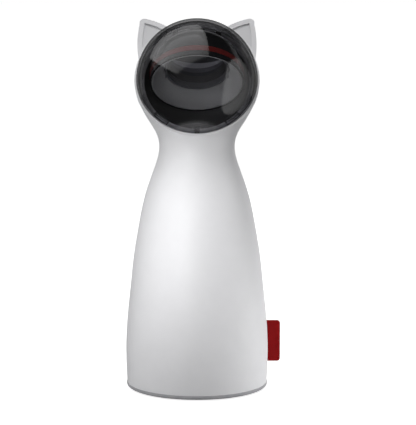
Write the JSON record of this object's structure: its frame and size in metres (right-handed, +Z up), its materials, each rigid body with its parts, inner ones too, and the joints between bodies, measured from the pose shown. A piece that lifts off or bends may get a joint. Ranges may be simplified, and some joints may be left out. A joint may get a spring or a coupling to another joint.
{
  "type": "automatic cat laser toy",
  "caption": "Round tower with a ball head, cat ears and a smoke dome; a motor turns a mirror that throws a laser dot for cats.",
  "frame": {"origin": "centre of the round base on the floor, on the door pad's underside", "axes": "+Z up along the tower, -Y to the front where the dome looks, +X to the side with the red tag"},
  "size_m": [0.0932, 0.0858, 0.223],
  "materials": {
    "white_shell": "satin white moulded ABS",
    "red_silicone": "matte red silicone",
    "grey_base": "fine-textured light grey ABS",
    "rubber_foot": "black anti-slip rubber",
    "steel": "zinc-plated",
    "spring_steel": "nickel-plated",
    "cell_wrap": "shrink sleeve",
    "black_plastic": "satin black ABS",
    "black_gloss": "polished black ABS",
    "board_green": "solder mask",
    "button_grey": "satin",
    "smoke_dome": "polished smoke polycarbonate",
    "bezel_grey": "satin dark grey ABS",
    "red_trim": "polished red ABS",
    "bowl_grey": "satin dark grey ABS",
    "carrier_grey": "satin dark grey acetal",
    "mirror": "front-silvered",
    "brass": "turned",
    "motor_can": "drawn can",
    "lens": "moulded lens"
  },
  "bodies": {
    "housing": {"front_shell": "white_shell", "rear_shell": "white_shell", "side_tag": "red_silicone", "base_cover": "grey_base", "base_screws": "steel", "foot_ring": "rubber_foot", "battery_cells": "cell_wrap", "top_contacts": "spring_steel", "battery_box": "black_plastic", "box_screws": "steel", "circuit_board": "board_green", "board_screws": "steel", "usb_socket": "spring_steel", "tact_switch": "black_plastic", "face_bezel": "bezel_grey", "chamber_liner": "black_plastic", "barrel": "black_gloss", "red_ring": "red_trim", "reflector_bowl": "bowl_grey", "carrier_axle": "steel", "axle_clip": "spring_steel", "drive_motor": "motor_can", "motor_screws": "steel", "laser_module": "brass", "laser_lens": "lens", "laser_holder": "black_plastic", "grub_screw": "steel"},
    "carrier": {"mirror_carrier": "carrier_grey", "pivot_pins": "steel"},
    "mirror": {"mirror_frame": "black_plastic", "mirror_glass": "mirror"},
    "pinion": {"motor_pinion": "brass", "motor_shaft": "steel"},
    "dome": {"dome_cover": "smoke_dome"},
    "button": {"power_button": "button_grey"},
    "door": {"battery_door": "grey_base", "door_pad": "rubber_foot", "door_contacts": "spring_steel"}
  },
  "joints": [
    {"name": "mirror_spin", "type": "hinge", "parent": "housing", "child": "carrier", "pos_m": [0, -0.00397, 0.18463], "axis": [0, -0.6613, -0.7501], "continuous": true},
    {"name": "mirror_tilt", "type": "hinge", "parent": "carrier", "child": "mirror", "pos_m": [0, 0.00654, 0.19655], "axis": [1, 0, 0], "range_deg": [0, 6]},
    {"name": "pinion_spin", "type": "hinge", "parent": "housing", "child": "pinion", "pos_m": [0, -0.00937, 0.18939], "axis": [0, -0.6613, -0.7501], "continuous": true},
    {"name": "dome_pull", "type": "slide", "parent": "housing", "child": "dome", "axis": [0, -0.848, 0.5299], "range_m": [0, 0.045]},
    {"name": "button_press", "type": "slide", "parent": "housing", "child": "button", "axis": [0, -1, 0], "range_m": [0, 0.0009], "stiffness_N_per_m": 1500, "springref_m": -0.0003},
    {"name": "door_drop", "type": "slide", "parent": "housing", "child": "door", "axis": [0, 0, -1], "range_m": [0, 0.025]}
  ],
  "couplings": [
    {"joint": "pinion_spin", "follows": "mirror_spin", "ratio": 3}
  ]
}
